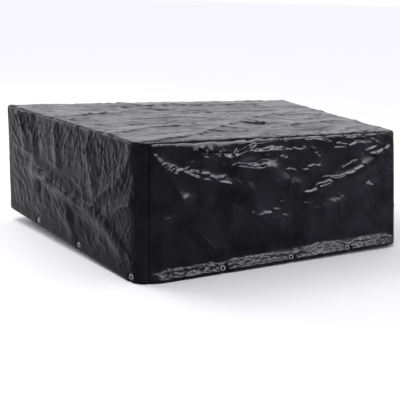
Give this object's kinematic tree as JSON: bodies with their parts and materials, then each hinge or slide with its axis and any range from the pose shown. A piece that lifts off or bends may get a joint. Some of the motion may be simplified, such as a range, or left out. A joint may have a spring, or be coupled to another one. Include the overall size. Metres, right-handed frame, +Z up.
{
  "type": "patio furniture cover",
  "caption": "Boxy black fitted cover of coated cloth that hides a patio furniture set, open underneath, with metal eyelets along its hem.",
  "frame": {"origin": "middle of the underside of the top panel, where the furniture set holds the cover up", "axes": "+X along the long side, +Y from the front to the back, +Z up"},
  "size_m": [2.2007, 1.6757, 0.7962],
  "materials": {
    "tarpaulin": "coated woven sheet, black, low sheen with bright glints on its creases",
    "hem_tarpaulin": "doubled coated sheet, black, slightly duller than the walls",
    "eyelet_metal": "pressed bright metal"
  },
  "bodies": {
    "root": {"top_panel": "tarpaulin", "wall_front": "tarpaulin", "wall_right": "tarpaulin", "wall_back": "tarpaulin", "wall_left": "tarpaulin", "hem_front": "hem_tarpaulin", "hem_right": "hem_tarpaulin", "hem_back": "hem_tarpaulin", "hem_left": "hem_tarpaulin", "eyelet_front_1": "eyelet_metal", "eyelet_front_2": "eyelet_metal", "eyelet_front_3": "eyelet_metal", "eyelet_right_1": "eyelet_metal", "eyelet_right_2": "eyelet_metal", "eyelet_right_3": "eyelet_metal", "eyelet_back_1": "eyelet_metal", "eyelet_back_2": "eyelet_metal", "eyelet_back_3": "eyelet_metal", "eyelet_left_1": "eyelet_metal", "eyelet_left_2": "eyelet_metal", "eyelet_left_3": "eyelet_metal"}
  },
  "joints": []
}
